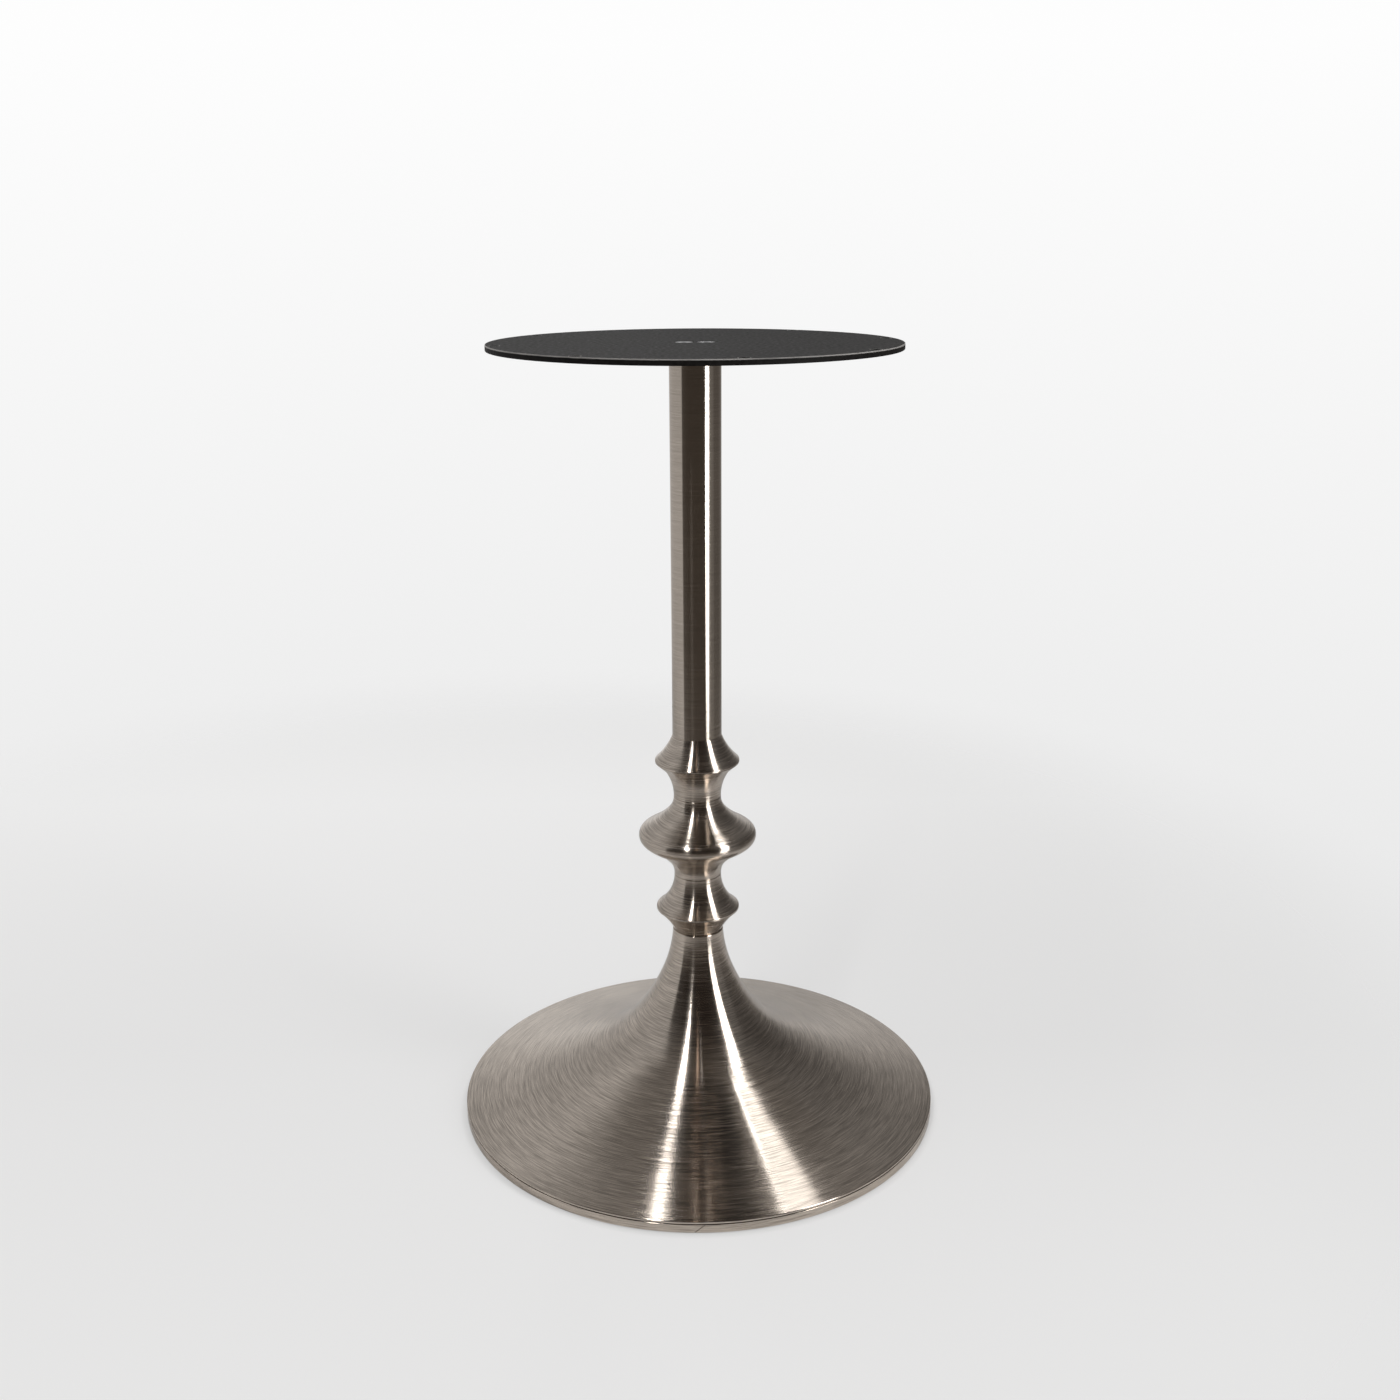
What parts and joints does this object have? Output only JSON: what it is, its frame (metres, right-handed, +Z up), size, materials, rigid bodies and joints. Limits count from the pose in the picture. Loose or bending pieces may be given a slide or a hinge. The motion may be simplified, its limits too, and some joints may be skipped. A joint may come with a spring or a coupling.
{
  "type": "trumpet table base",
  "caption": "Pedestal base for a round table: a spun trumpet foot, turned rings and a plain tube under a steel plate that the table top is screwed to.",
  "frame": {"origin": "on the floor under the middle of the base, where the column's axis meets the underside of the glides", "axes": "+Z up along the column's axis; -Y towards the viewer of the picture, where the edge band's seam is; +X to the viewer's right"},
  "size_m": [0.45, 0.45, 0.72],
  "materials": {
    "brushed_stainless": "stainless steel, brushed round the axis with fine lines, satin",
    "black_powder_coat": "black powder coat with a fine grain, worn bright along the rim's upper edge",
    "cast_iron": "cast, turned where it fits, with thin black paint",
    "mild_steel": "turned mild steel, lightly oiled",
    "zinc_steel": "bright zinc plating",
    "glide_rubber": "matt black rubber"
  },
  "bodies": {
    "root": {"top_plate": "black_powder_coat", "plate_screws": "zinc_steel", "top_boss": "mild_steel", "column_tube": "brushed_stainless", "upper_ring": "brushed_stainless", "middle_ring": "brushed_stainless", "lower_ring": "brushed_stainless", "trumpet_shell": "brushed_stainless", "neck_collar": "mild_steel", "support_tube": "mild_steel", "base_weight": "cast_iron", "edge_band": "brushed_stainless", "tie_rod": "zinc_steel", "rod_washer": "zinc_steel", "rod_lock_washer": "zinc_steel", "rod_nut": "zinc_steel", "floor_glide_1": "glide_rubber", "floor_glide_2": "glide_rubber", "floor_glide_3": "glide_rubber", "floor_glide_4": "glide_rubber", "floor_glide_5": "glide_rubber", "floor_glide_6": "glide_rubber"}
  },
  "joints": []
}
